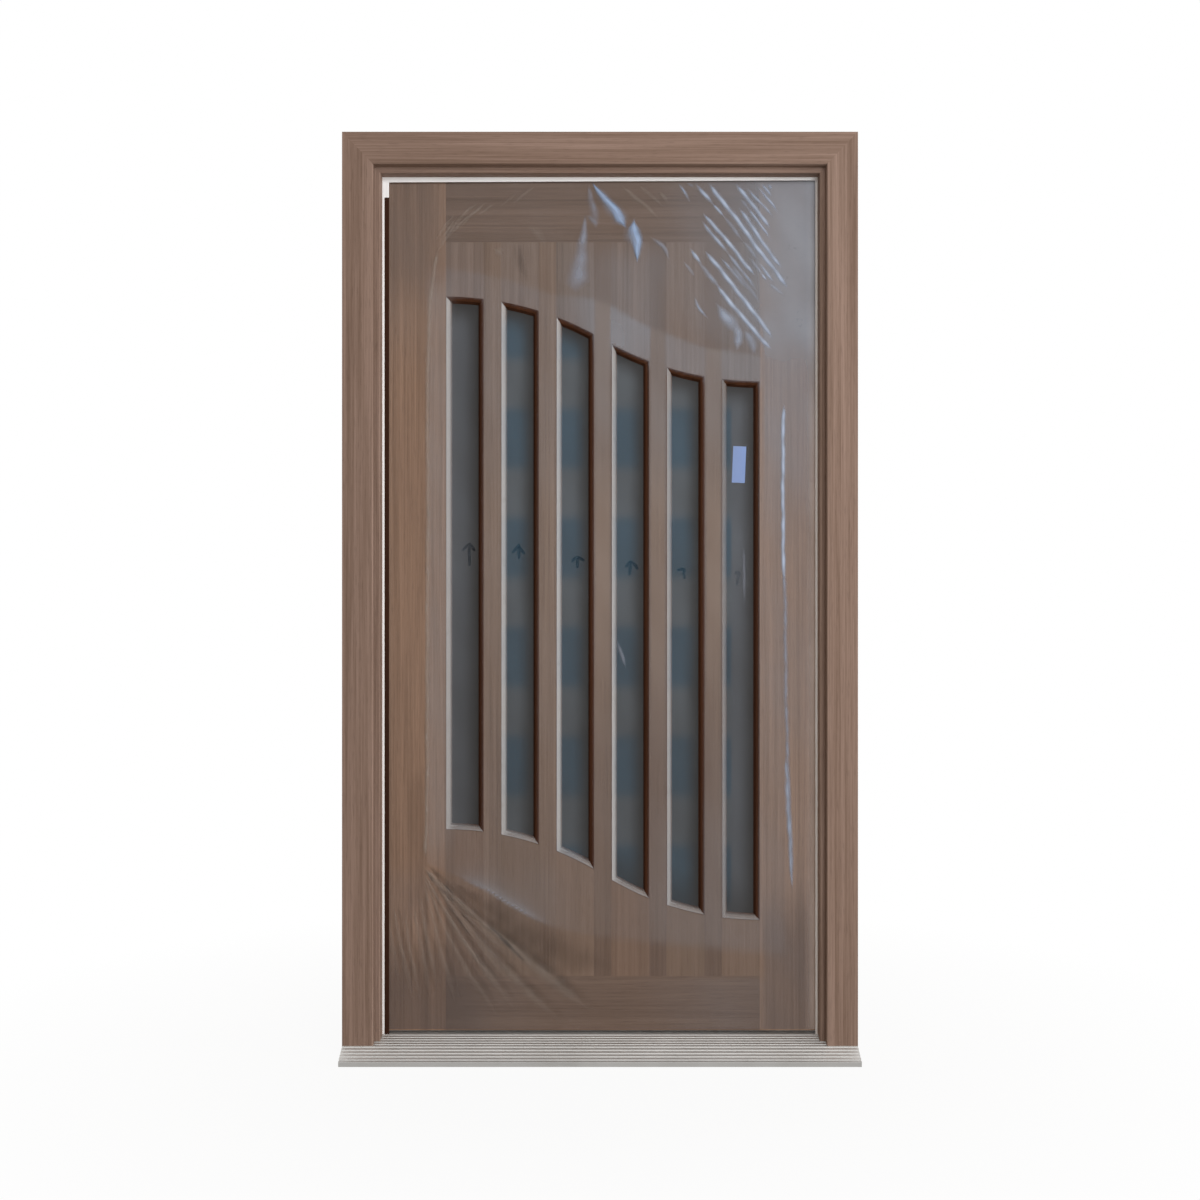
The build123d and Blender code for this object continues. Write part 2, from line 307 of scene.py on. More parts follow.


# Leaf: stiles, rails and mullions of the same hardwood, jointed flush, with a short panel above
# and below every light. Each piece is a board of its own, so tone and figure change at the joints.
# The tones also carry painted light and shade: the hanging stile is paler, and the top and bottom
# rails are darker.
light_count = 6
leaf_tones = {
    "closing_stile": ("Z", "#957863", "#765D4B"),
    "hanging_stile": ("Z", "#9E8370", "#806856"),
    "top_rail": ("X", "#715D50", "#584639"),
    "bottom_rail": ("X", "#735F51", "#645144"),
}
mullion_tones = (
    ("#7D6859", "#624F41"),
    ("#7F6A5A", "#655143"),
    ("#6E5A4C", "#624F42"),
    ("#6A574B", "#5E4C40"),
    ("#6C594C", "#614E41"),
)
upper_tones = (
    ("#816F63", "#66554A"),
    ("#7A695E", "#5F5045"),
    ("#7D6A5E", "#615045"),
)
lower_tones = (
    ("#7F6959", "#715C4C"),
    ("#786354", "#6A5747"),
    ("#7B6454", "#6C5748"),
)
for i in range(1, light_count):
    leaf_tones[f"mullion_{i}"] = ("Z", *mullion_tones[i - 1])
for i in range(1, light_count + 1):
    leaf_tones[f"upper_panel_{i}"] = ("Z", *upper_tones[(i + 1) % len(upper_tones)])
    leaf_tones[f"lower_panel_{i}"] = ("Z", *lower_tones[(2 * i) % len(lower_tones)])
# Every board comes from another place in the grain.
board_shift = (0.37, 0.73, 1.9)
for i, (name, (grain, pale, deep)) in enumerate(leaf_tones.items()):
    shift = [i * share for share in board_shift]
    dress(name, planed_hardwood("leaf_hardwood_" + name, grain, pale, deep, shift))


# Glazing: sealed units of satin grey glass, set between splayed hardwood beads that are mitred at
# the corners and pinned. The outer beads are coloured dark brown, painted shade for the shade on
# their right and top sides, and bright bars space the panes.
bead_painted_shade = planed_hardwood(
    "bead_hardwood_painted_shade", "Z", "#543423", "#3E2517", (7.3, 0.9, 3.3), roughness=0.7, gloss=0.05,
)
for i in range(1, light_count + 1):
    dress(f"outer_bead_{i}", bead_painted_shade)
dress("inner_beads", planed_hardwood("inner_bead_hardwood", "Z", *lower_tones[0], (9.1, 2.2, 0.4)))
dress("spacer_bars", extruded_metal("spacer_aluminium", "Z", "#C9C9C8", "#B4B4B3", roughness=0.4))


def satin_glass(name):
    """Tinted glass etched to a satin face: dark grey with soft clouds."""
    material, tree, shader = new_finish(name, Roughness=0.34, IOR=1.5, Specular_IOR_Level=0.15)
    place = add_node(tree, "ShaderNodeTexCoord").outputs["Object"]
    cloud = add_node(tree, "ShaderNodeTexNoise", {"Vector": place, "Scale": 1 / (140 * mm), "Detail": 2.0})
    tint = add_node(
        tree, "ShaderNodeMix",
        {0: cloud.outputs["Fac"], 6: paint("#33302D"), 7: paint("#3E3D3C")}, data_type="RGBA",
    )
    tree.links.new(tint.outputs[2], shader.inputs["Base Color"])
    return material


satin_grey = satin_glass("satin_grey_glass")
for i in range(1, light_count + 1):
    dress(f"glass_{i}", satin_grey)


# Sticker: a blank pale blue paper label, stuck a little askew on the glass of the last light,
# with its lower right corner lifting.
glass_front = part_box("glass_6")[0].y
label_middle = (331.5 * mm, 1393 * mm)
label_size = (31 * mm, 87 * mm)
label_thickness = 0.12 * mm
label_lean = math.radians(-2.4)
label_curl = 1.6 * mm
curl_start = 0.72
label = bmesh.new()
bmesh.ops.create_grid(label, x_segments=10, y_segments=28, size=0.5)
for vert in label.verts:
    across = vert.co.x * label_size[0]
    up = vert.co.y * label_size[1]
    corner = max(0.0, vert.co.x - vert.co.y - curl_start) / (1 - curl_start)
    vert.co = (
        label_middle[0] + across * math.cos(label_lean) - up * math.sin(label_lean),
        glass_front - label_thickness - label_curl * corner ** 2,
        label_middle[1] + across * math.sin(label_lean) + up * math.cos(label_lean),
    )
paper_back = label.faces[:]
paper_rim = [edge.verts[:] for edge in label.edges if edge.is_boundary]
paper_front = {}
for vert in label.verts[:]:
    paper_front[vert] = label.verts.new(vert.co - Vector((0, label_thickness, 0)))
for face in paper_back:
    label.faces.new([paper_front[vert] for vert in face.verts])
for start, end in paper_rim:
    label.faces.new((start, end, paper_front[end], paper_front[start]))
bmesh.ops.recalc_face_normals(label, faces=label.faces[:])
label_mesh = bpy.data.meshes.new("blank_label")
label.to_mesh(label_mesh)
label.free()
label_paper = moulded_skin(
    "blue_label_paper", "#8CA4D6", "#8099CC", grit=0.9 * mm, roughness=0.55, bump_strength=0.15,
)
new_piece("blank_label", label_mesh, label_paper, "leaf")


# Pen marks: an arrow drawn by hand on the glass of every light, to show which way up it goes.
# Each stroke is a dull dark ink line about 6 mm wide that thins where the pen was lifted.
pen_strokes = (
    ((-312, 1206), (-312, 1180), (-311, 1151)),
    ((-328, 1187), (-322, 1194), (-314, 1203)),
    ((-311, 1204), (-304, 1195), (-299, 1187)),
    ((-194, 1204), (-194, 1189), (-193, 1168)),
    ((-210, 1183), (-203, 1189), (-195, 1200)),
    ((-193, 1199), (-186, 1187), (-180, 1180)),
    ((-54, 1171), (-54, 1158), (-54, 1146)),
    ((-66, 1160), (-63, 1167), (-57, 1171), (-50, 1171), (-43, 1167), (-37, 1164)),
    ((72, 1164), (72, 1146), (70, 1129)),
    ((61, 1148), (66, 1155), (72, 1162)),
    ((73, 1163), (80, 1157), (86, 1151), (89, 1143)),
    ((184, 1141), (191, 1143), (196, 1144), (201, 1141), (200, 1132), (202, 1120)),
    ((321, 1134), (329, 1136), (336, 1129)),
    ((330, 1132), (329, 1124), (328, 1115), (326, 1105)),
)
pen_width = 6.4 * mm
pen_steps = 6
ink_lift = 0.08 * mm
ink_points = []
ink_faces = []
for stroke in pen_strokes:
    path = np.array(stroke) * mm
    steps = np.linspace(0, len(path) - 1, pen_steps * (len(path) - 1) + 1)
    xs = np.interp(steps, np.arange(len(path)), path[:, 0])
    zs = np.interp(steps, np.arange(len(path)), path[:, 1])
    heading = np.stack([np.gradient(xs), np.gradient(zs)], 1)
    heading /= np.linalg.norm(heading, axis=1)[:, None]
    along = steps / steps[-1]
    half = pen_width / 2 * (0.7 + 0.5 * np.sin(math.pi * (0.15 + 0.75 * along)))
    for i in range(len(steps)):
        for side in (-1, 1):
            ink_points.append((
                xs[i] - side * heading[i, 1] * half[i],
                glass_front - ink_lift,
                zs[i] + side * heading[i, 0] * half[i],
            ))
        if i:
            last = len(ink_points) - 4
            ink_faces.append((last, last + 1, last + 3, last + 2))
ink_mesh = bpy.data.meshes.new("pen_arrows")
ink_mesh.from_pydata(ink_points, [], ink_faces)
ink, ink_tree, ink_shader = new_finish("marker_ink", Roughness=0.6, Specular_IOR_Level=0.2)
ink_place = add_node(ink_tree, "ShaderNodeTexCoord").outputs["Object"]
ink_patch = add_node(
    ink_tree, "ShaderNodeTexNoise",
    {"Vector": ink_place, "Scale": 1 / (4 * mm), "Detail": 3.0},
)
ink_cover = add_node(
    ink_tree, "ShaderNodeMapRange",
    {"Value": ink_patch.outputs["Fac"], "From Min": 0.3, "From Max": 0.7, "To Min": 0.65, "To Max": 0.95},
)
ink_shader.inputs["Base Color"].default_value = paint("#17191B")
ink_tree.links.new(ink_cover.outputs[0], ink_shader.inputs["Alpha"])
new_piece("pen_arrows", ink_mesh, ink, "leaf")


# Hinges: pressed steel butts in a satin finish, let in flush and screwed through each flap.
# The screws are countersunk, four to a flap, with a round driver recess.
satin_steel = extruded_metal("satin_steel", "Z", "#C2C2C2", "#A9A9A9", roughness=0.38)
hinge_numbers = (1, 2, 3)
for i in hinge_numbers:
    dress(f"hinge_{i}_frame_flap", satin_steel)
    dress(f"hinge_{i}_leaf_flap", satin_steel)


def screw_tree():
    """Screw heads standing on the points of a mesh, facing along X."""
    tree = bpy.data.node_groups.new("hinge_screws", "GeometryNodeTree")
    tree.interface.new_socket("Points", in_out="INPUT", socket_type="NodeSocketGeometry")
    sizes = {
        "Head Radius": 3.8 * mm,
        "Head Depth": 0.7 * mm,
        "Rim Share": 0.9,
        "Recess Share": 0.42,
        "Recess Offset": -0.3 * mm,
        "Facing": 1.0,
    }
    for size_name, value in sizes.items():
        socket = tree.interface.new_socket(size_name, in_out="INPUT", socket_type="NodeSocketFloat")
        socket.default_value = value
    tree.interface.new_socket("Steel", in_out="INPUT", socket_type="NodeSocketMaterial")
    tree.interface.new_socket("Screws", in_out="OUTPUT", socket_type="NodeSocketGeometry")
    given = add_node(tree, "NodeGroupInput").outputs
    disc = add_node(
        tree, "GeometryNodeMeshCylinder",
        {"Vertices": 20, "Radius": given["Head Radius"], "Depth": given["Head Depth"]},
    )
    rim = add_node(
        tree, "GeometryNodeScaleElements",
        {"Geometry": disc.outputs["Mesh"], "Selection": disc.outputs["Top"], "Scale": given["Rim Share"]},
    )
    land = add_node(
        tree, "GeometryNodeExtrudeMesh",
        {"Mesh": rim.outputs["Geometry"], "Selection": disc.outputs["Top"], "Offset Scale": 0.0},
    )
    recess = add_node(
        tree, "GeometryNodeScaleElements",
        {"Geometry": land.outputs["Mesh"], "Selection": land.outputs["Top"], "Scale": given["Recess Share"]},
    )
    socket_floor = add_node(
        tree, "GeometryNodeExtrudeMesh",
        {
            "Mesh": recess.outputs["Geometry"],
            "Selection": land.outputs["Top"],
            "Offset Scale": given["Recess Offset"],
        },
    )
    facing = add_node(tree, "ShaderNodeCombineXYZ", {"X": given["Facing"]})
    turn = add_node(tree, "FunctionNodeAlignRotationToVector", {"Vector": facing.outputs[0]}, axis="Z")
    placed = add_node(
        tree, "GeometryNodeInstanceOnPoints",
        {"Points": given["Points"], "Instance": socket_floor.outputs["Mesh"], "Rotation": turn.outputs[0]},
    )
    real = add_node(tree, "GeometryNodeRealizeInstances", {"Geometry": placed.outputs["Instances"]})
    finished = add_node(
        tree, "GeometryNodeSetMaterial",
        {"Geometry": real.outputs["Geometry"], "Material": given["Steel"]},
    )
    add_node(tree, "NodeGroupOutput", {"Screws": finished.outputs["Geometry"]})
    return tree


screws = screw_tree()
screw_rows = (-23 * mm, -9 * mm)
screw_heights = (-38 * mm, 38 * mm)
leaf_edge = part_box("hanging_stile")[1]
hinge_gap = 6.5 * mm
for body, face, facing in (("frame", leaf_edge.x + hinge_gap, -1.0), ("leaf", leaf_edge.x, 1.0)):
    spots = []
    for i in hinge_numbers:
        low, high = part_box(f"hinge_{i}_{body}_flap")
        for row in screw_rows:
            for height in screw_heights:
                spots.append((face, leaf_edge.y + row, (low.z + high.z) / 2 + height))
    spot_mesh = bpy.data.meshes.new("screw_spots")
    spot_mesh.from_pydata(spots, [], [])
    maker = bpy.data.objects.new("screw_maker", spot_mesh)
    bpy.context.scene.collection.objects.link(maker)
    modifier = maker.modifiers.new("screws", "NODES")
    modifier.node_group = screws
    for item in screws.interface.items_tree:
        if item.name == "Facing":
            modifier[item.identifier] = facing
        if item.name == "Steel":
            modifier[item.identifier] = satin_steel
    graph = bpy.context.evaluated_depsgraph_get()
    screw_mesh = bpy.data.meshes.new_from_object(maker.evaluated_get(graph))
    bpy.data.objects.remove(maker)
    screw_mesh.name = f"hinge_screws_{body}"
    new_piece(f"hinge_screws_{body}", screw_mesh, satin_steel, body)


# Protective film: clear wrapping film drawn tight over the whole outer face of the leaf. Its haze
# is partly the film's own milkiness and partly painted reflection of the light. It is paler in a field
# round the lights and brighter in the slack top right corner, with painted highlights and painted
# shade laid in it. The film is gathered into a fan at the lower left.
film_low, film_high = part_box("protective_film")
film_columns = 176
film_rows = 340
lights_left = -366.0
lights_right = 379.0
light_pitch = 131.0
light_width = 90.0


def fade(value, start, stop):
    """0 at start, 1 at stop, smooth between."""
    share = np.clip((value - start) / (stop - start), 0, 1)
    return share * share * (3 - 2 * share)


def within(value, start, full, last, stop):
    """0 up to start, 1 from full to last, 0 from stop on, smooth between."""
    return fade(value, start, full) * fade(value, stop, last)


def sweep_height(across, start, drop):
    """Height of the S-curve of two equal arcs that the lights' ends follow, in millimetres."""
    reach = (lights_right - lights_left) / 2
    radius = (reach ** 2 + (drop / 2) ** 2) / drop
    from_left = np.clip(across - lights_left, 0, reach)
    from_right = np.clip(lights_right - across, 0, reach)
    upper = start - radius + np.sqrt(radius ** 2 - from_left ** 2)
    lower = start - drop + radius - np.sqrt(radius ** 2 - from_right ** 2)
    return np.where(across < lights_left + reach, upper, lower)


# The film's points, in millimetres across and up the leaf. What follows is worked out at each of them.
across, up = np.meshgrid(
    np.linspace(film_low.x, film_high.x, film_columns) / mm,
    np.linspace(film_low.z, film_high.z, film_rows) / mm,
)

# The paler field round the lights, partly painted reflection, with a wavy head and foot
field_top = np.interp(
    across,
    (-430, -368, -235, -107, -36, 20, 109, 244, 372, 440),
    (1850, 1857, 1835, 1793, 1789, 1772, 1720, 1670, 1651, 1630),
)
field_foot = np.interp(
    across,
    (-417, -332, -309, -269, -217, -149, -110, 0, 380, 440),
    (449, 412, 399, 381, 347, 310, 293, 270, 235, 228),
)
top_blur = 9
foot_blur = 5 + 12 * fade(across, -170, 60)
field = within(across, -416, -404, 424, 452)
field = field * fade(up, field_foot - foot_blur, field_foot + foot_blur)
field = field * fade(up, field_top + top_blur, field_top - top_blur)

# The lights, the mullions between them, and a painted light over the glass that is densest at the left
# of each light and fades out towards its right side and head, leaving painted shade there
light_step = (across - lights_left) % light_pitch
light_head = sweep_height(across, start=1790, drop=201)
light_foot = sweep_height(across, start=525, drop=215)
in_light = within(light_step, -1, 6, light_width - 6, light_width + 1) * within(across, -367, -365, 378, 380)
in_light = in_light * within(up, light_foot - 3, light_foot + 5, light_head - 5, light_head + 3)
in_mullion = within(light_step, light_width + 1, light_width + 3, light_pitch - 2, light_pitch)
in_mullion = in_mullion * within(across, -276, -274, 288, 290)
glass_light_and_shade = 0.135 * fade(light_step, 80, 34) * fade(up, light_head - 12, light_head - 75)
glass_light_and_shade = glass_light_and_shade * (0.78 + 0.22 * fade(up, 700, 1300)) * (1 + 0.3 * fade(across, 310, 314))
glass_light_and_shade = glass_light_and_shade * (1 - 0.5 * fade(up, light_foot + 110, light_foot + 20) * fade(across, -20, 60))

# Over the wood, haze that is partly painted reflection: denser in the field, towards the hanging stile,
# and low down on both sides
under_field = (1 - field) * fade(across, 400, 380) * within(up, 165, 180, 350, 400)
over_wood = 0.03 + 0.07 * field
over_wood = over_wood + 0.15 * fade(across, 300, 470) * fade(up, 350, 900)
over_wood = over_wood + 0.09 * fade(across, 0, 300) * fade(up, 700, 400) * (1 - 0.65 * under_field)
over_wood = over_wood + 0.05 * fade(up, 470, 380) * fade(across, 120, -300)

# Over the mullions, haze that is partly painted reflection, cooler towards their heads, and over the
# panels above the lights
over_mullions = (0.11 + 0.1 * fade(across, -60, -20)) * (0.28 + 0.72 * fade(up, 620, 1080))
over_mullions = over_mullions * in_mullion * field
cool_mullions = over_mullions * fade(up, 1250, 1520)
warm_mullions = over_mullions - cool_mullions
over_heads = (0.08 + 0.14 * fade(across, -100, 60)) * field * (1 - in_mullion)
over_heads = over_heads * within(across, -372, -360, 380, 392) * fade(up, light_head - 30, light_head + 5)
over_panels = 0.12 * within(across, -150, 50, 110, 190) * within(up, 1560, 1720, 1850, 1950)
over_panels = over_panels * (1 - in_mullion * field)

# Painted reflection in the slack film above the field, most of it towards the top right corner
over_field = (1 - field) * fade(up, 1560, 1780)
top_painted_reflection = 0.1 * over_field
corner_painted_reflection = 0.36 * over_field * fade(across, 70, 490)

# On the stiles: a painted reflection high on the right, painted shade low on the left, a painted
# highlight on the field's left rim, painted light along the hinge side that fills the shadow of the
# stop there, and painted shade in the corners
stile_painted_reflection = 0.2 * fade(across, 382, 394) * within(up, 1150, 1560, 1690, 1790)
seam_painted_shade = 0.11 * within(across, -462, -448, -428, -416) * within(up, 300, 360, 600, 680)
left_rim_highlight = 0.12 * within(across, -416, -402, -385, -330) * within(up, 430, 520, 1780, 1860)
hinge_painted_light = 0.5 * fade(across, 486, 512)
cold_hinge_light = 0.4 * hinge_painted_light * fade(up, 1350, 1850)
warm_hinge_light = hinge_painted_light * (1 - fade(up, 1350, 1850))
corners_painted_shade = 0.36 * fade(up, 300, 130) * fade(across, -215, -400)
corners_painted_shade = corners_painted_shade + 0.3 * fade(up, 430, 240) * fade(across, 376, 400)
corners_painted_shade = corners_painted_shade + 0.2 * fade(up, 1720, 1880) * fade(across, -330, -420)

# A painted highlight along the foot of the field, over the fan
over_foot = up - field_foot
low_ridge_highlight = 0.42 * fade(over_foot, -4, 3) * np.exp(-np.clip(over_foot, 0, None) / 16)
low_ridge_highlight = low_ridge_highlight * within(across, -350, -285, -190, -105)

# The film is not quite flat: it lies up to 0.2 mm in or out in long waves.
film_sag = 0.15 - 0.2 * np.sin(across / 140 + 0.8) * np.sin(up / 230)
film_points = np.stack([across * mm, film_low.y + film_sag * mm, up * mm], 2).reshape(-1, 3)
film_faces = []
for row in range(film_rows - 1):
    for column in range(film_columns - 1):
        corner = row * film_columns + column
        film_faces.append((corner, corner + 1, corner + film_columns + 1, corner + film_columns))


def lay_film(name, points, faces, cover, tone):
    """A mesh of film that carries how much of it shows at every point and in what colour."""
    mesh = bpy.data.meshes.new(name)
    mesh.from_pydata(points, [], faces)
    mesh.shade_smooth()
    mesh.attributes.new("cover", "FLOAT", "POINT").data.foreach_set("value", cover)
    mesh.attributes.new("tone", "FLOAT_COLOR", "POINT").data.foreach_set("color", tone)
    return mesh


# Over the four middle lights the film carries a painted reflection in even bands of blue and grey,
# over the outer two in grey.
reflection_band_pitch = 259.0
reflection_band_start = 1065.0
reflection_band = fade(np.cos(2 * math.pi * (up - reflection_band_start) / reflection_band_pitch), -0.25, 0.55)
outer_light = fade(across, -258, -262) + fade(across, 310, 314)
reflection_band_tone = np.array(paint("#7FB2D2")) * (1 - reflection_band[..., None]) + np.array(paint("#BCCCD8")) * reflection_band[..., None]
glass_reflection_tone = reflection_band_tone * (1 - outer_light[..., None]) + np.array(paint("#AEB8C4")) * outer_light[..., None]

# The haze, partly the film's own milkiness and partly painted light and shade, is laid on in layers,
# each with its colour, and has a faint mottle all over.
off_light = 1 - in_light
haze_layers = (
    (over_wood * off_light, paint("#A9ABB1")),
    (top_painted_reflection * off_light, paint("#A69C95")),
    (corner_painted_reflection * off_light, paint("#9EA6B1")),
    (over_panels * off_light, paint("#9FABB8")),
    (over_heads * off_light, paint("#A9ABB1")),
    (stile_painted_reflection, paint("#9EA6B1")),
    (seam_painted_shade, paint("#3A2C22")),
    (cool_mullions * off_light, paint("#B4ABA6")),
    (warm_mullions * off_light, paint("#C5AB95")),
    (low_ridge_highlight, paint("#A9ABB3")),
    (cold_hinge_light, paint("#E2E0E2")),
    (warm_hinge_light, paint("#EACFBC")),
    (left_rim_highlight, paint("#C2BFBD")),
    (corners_painted_shade, paint("#604B3E")),
    (glass_light_and_shade * in_light, glass_reflection_tone),
)
cover = sum(haze for haze, tone in haze_layers)
film_tone = sum(haze[..., None] * np.array(tone) for haze, tone in haze_layers)
film_tone = film_tone / np.maximum(cover, 0.0001)[..., None]
mottle = np.sin(across / 47 + 1.3) * np.sin(up / 83 + 0.4) + 0.6 * np.sin(across / 19 + up / 31 + 2.1)
cover = np.clip(cover * (1 + 0.09 * mottle), 0, 1)
film_mesh = lay_film("wrapping_film", film_points.tolist(), film_faces, cover.ravel(), film_tone.ravel())


def clear_film(name, roughness):
    """Thin clear plastic: seen only as its cover and tone attributes say, which paint where it catches the
    light and where shade falls.
    """
    material, tree, shader = new_finish(name)
    place = add_node(tree, "ShaderNodeTexCoord").outputs["Object"]
    cloud = add_node(tree, "ShaderNodeTexNoise", {"Vector": place, "Scale": 1 / (35 * mm), "Detail": 4.0})
    tint = add_node(
        tree, "ShaderNodeMix",
        {0: cloud.outputs["Fac"], 6: paint("#EDEDED"), 7: paint("#FFFFFF")}, data_type="RGBA",
    )
    gloss = add_node(
        tree, "ShaderNodeMapRange",
        {"Value": cloud.outputs["Fac"], "To Min": roughness - 0.08, "To Max": roughness + 0.08},
    )
    seen = add_node(tree, "ShaderNodeAttribute", attribute_name="cover")
    tone = add_node(tree, "ShaderNodeAttribute", attribute_name="tone")
    tree.links.new(tint.outputs[2], shader.inputs["Base Color"])
    tree.links.new(gloss.outputs[0], shader.inputs["Roughness"])
    tree.links.new(seen.outputs["Fac"], shader.inputs["Alpha"])
    shade_base(material, tone.outputs["Color"])
    return material


wrapping_plastic = clear_film("clear_wrapping_film", roughness=0.3)
film = new_piece("wrapping_film", film_mesh, wrapping_plastic, "leaf")
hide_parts("protective_film")


# Film creases: narrow folds pressed up out of the film, with painted highlights along their crests.
# Most run side by side down to the right in the slack top corner, one long fold follows the hanging
# stile, and at the lower left the film is gathered into a fan of soft folds with painted shade in the
# hollows between them.
crest_highlight = "#B8C4D8"
lavender_reflection = "#A3A8B6"
blue_reflection = "#93A8C6"
lit_brown_highlight = "#AFA195"
hollow_painted_shade = "#3A2C22"

# Each crease has its path in millimetres on the leaf, its width, how bright its painted highlight or
# shade is, and its colour.
creases = [
    (((185, 2059), (197, 2043), (206, 2028), (213, 2014)), 9, 0.43, crest_highlight),
    (((206, 2059), (223, 2050)), 8, 0.29, crest_highlight),
    (((225, 2059), (242, 2040), (259, 2021), (270, 2007)), 12, 0.6, crest_highlight),
    (((266, 2012), (280, 1995), (296, 1978)), 9, 0.61, crest_highlight),
    (((292, 1983), (320, 1945), (337, 1924)), 10, 0.32, crest_highlight),
    (
        (
            (256, 2059), (287, 2021), (313, 1988), (332, 1962),
            (353, 1933), (375, 1903), (398, 1874), (446, 1808),
        ),
        13, 0.72, crest_highlight,
    ),
    (((320, 2059), (344, 2031), (365, 2002), (387, 1974), (406, 1948)), 12, 0.66, crest_highlight),
    (((349, 2047), (372, 2019), (398, 1995), (410, 1978)), 9, 0.58, crest_highlight),
    (((372, 2052), (387, 2033), (413, 2005), (422, 1988)), 9, 0.61, crest_highlight),
    (((382, 2059), (396, 2043), (408, 2026)), 9, 0.65, crest_highlight),
    (((398, 2059), (408, 2043)), 8, 0.41, crest_highlight),
    (((330, 2000), (351, 1969), (372, 1938), (391, 1912), (410, 1884), (432, 1855)), 12, 0.66, crest_highlight),
    (((346, 2007), (368, 1976), (389, 1950), (406, 1924)), 9, 0.58, crest_highlight),
    (((334, 2021), (351, 2000)), 8, 0.32, crest_highlight),
    (
        ((244, 1988), (270, 1957), (294, 1929), (318, 1903), (337, 1876), (356, 1853), (368, 1839)),
        12, 0.68, crest_highlight,
    ),
    (((242, 1969), (263, 1938), (289, 1912), (304, 1893)), 11, 0.56, crest_highlight),
    (((299, 1898), (311, 1881), (339, 1846)), 9, 0.35, crest_highlight),
    (((213, 1906), (226, 1887), (241, 1866)), 11, 0.62, crest_highlight),
    (
        ((249, 1898), (270, 1872), (301, 1834), (337, 1789), (370, 1744), (389, 1720), (410, 1691)),
        13, 0.74, crest_highlight,
    ),
    (((232, 1872), (256, 1843), (285, 1810)), 13, 0.36, crest_highlight),
    (((275, 1820), (301, 1786), (334, 1746), (370, 1703), (408, 1663)), 13, 0.74, crest_highlight),
    (((285, 1884), (306, 1860), (334, 1824), (349, 1808)), 9, 0.38, crest_highlight),
    (((304, 1893), (332, 1855), (361, 1820), (372, 1803)), 9, 0.35, crest_highlight),
    (((351, 1884), (368, 1865), (389, 1836)), 8, 0.35, crest_highlight),
    (((372, 1874), (387, 1858), (406, 1831), (415, 1820)), 10, 0.55, crest_highlight),
    (((382, 1846), (396, 1827)), 8, 0.58, crest_highlight),
    (((398, 1824), (422, 1803), (439, 1791)), 10, 0.32, crest_highlight),
    (((337, 1924), (361, 1895), (380, 1872)), 9, 0.29, crest_highlight),
    (((308, 1872), (344, 1822), (380, 1774)), 10, 0.23, crest_highlight),
    (((225, 1791), (228, 1772), (235, 1760), (256, 1737)), 9, 0.43, crest_highlight),
    (((199, 1872), (209, 1858), (225, 1836)), 9, 0.29, crest_highlight),
    (
        ((-35, 1985), (-36, 1955), (-40, 1915), (-45, 1888), (-51, 1855), (-55, 1828), (-57, 1800)),
        (8, 14, 26, 34, 44, 52, 54), 0.46, lavender_reflection,
    ),
    (((-28, 2059), (-21, 2020), (-14, 1985), (-10, 1950)), (8, 17, 24, 20), 0.26, lavender_reflection),
    (((-17, 2016), (-12, 1990)), 12, 0.25, lavender_reflection),
    (((-31, 1983), (-17, 1967), (-2, 1960)), 13, 0.35, lavender_reflection),
    (((52, 2052), (76, 2031), (100, 2012), (119, 1995), (138, 1976)), 12, 0.2, lit_brown_highlight),
    (((140, 2040), (161, 2016)), 12, 0.2, lit_brown_highlight),
    (((88, 2056), (112, 2036), (150, 2003)), 10, 0.16, lit_brown_highlight),
    (((-387, 1895), (-367, 1926), (-344, 1961), (-321, 1989), (-292, 2010)), 8, 0.2, lit_brown_highlight),
    (((-381, 1918), (-361, 1949), (-338, 1978)), 7, 0.2, lit_brown_highlight),
    (((-355, 1935), (-326, 1969), (-281, 2001)), 8, 0.22, lit_brown_highlight),
    (((-332, 1952), (-301, 1987), (-269, 2015)), 7, 0.18, lit_brown_highlight),
    (((-390, 1923), (-367, 1958), (-349, 1981)), 7, 0.16, lit_brown_highlight),
    (((-292, 1981), (-252, 2010)), 7, 0.16, lit_brown_highlight),
    (((-206, 2010), (-177, 2035), (-154, 2050)), 8, 0.18, lit_brown_highlight),
    (((-235, 2004), (-200, 2033)), 7, 0.14, lit_brown_highlight),
    (((-196, 1922), (-187, 1868), (-172, 1828)), (10, 24, 16), 0.14, hollow_painted_shade),
    (((-252, 1904), (-229, 1889)), 18, 0.18, lit_brown_highlight),
    (((-170, 1956), (-150, 1940), (-128, 1912)), 20, 0.14, lit_brown_highlight),
    (((119, 1931), (147, 1912), (159, 1898), (164, 1876)), 12, 0.42, lavender_reflection),
    (
        ((275, 1774), (289, 1756), (304, 1737), (318, 1718), (323, 1703)),
        (12, 22, 30, 36, 30), 0.45, crest_highlight,
    ),
    (((325, 1727), (329, 1696), (324, 1662)), 24, 0.45, crest_highlight),
    (((342, 1710), (357, 1688), (367, 1654)), 22, 0.4, crest_highlight),
    (((436, 1535), (434, 1450), (434, 1260), (436, 1113)), 11, 0.85, crest_highlight),
    (((436, 1141), (439, 1070), (441, 833), (448, 596), (455, 406)), 11, 0.5, lavender_reflection),
    (((440, 700), (443, 640), (448, 560), (452, 470), (456, 385)), (6, 14, 15, 12, 6), 0.5, crest_highlight),
    (((339, 1196), (342, 1129), (342, 1065)), 8, 0.25, lavender_reflection),
    (((40, 975), (52, 940), (62, 909)), 11, 0.35, lavender_reflection),
    (
        ((-385, 1897), (-394, 1849), (-402, 1791), (-407, 1688), (-410, 1550), (-408, 1260)),
        10, 0.34, lit_brown_highlight,
    ),
    (((-408, 1300), (-408, 1260), (-410, 1070), (-410, 833), (-410, 619), (-415, 453)), 11, 0.4, lit_brown_highlight),
]

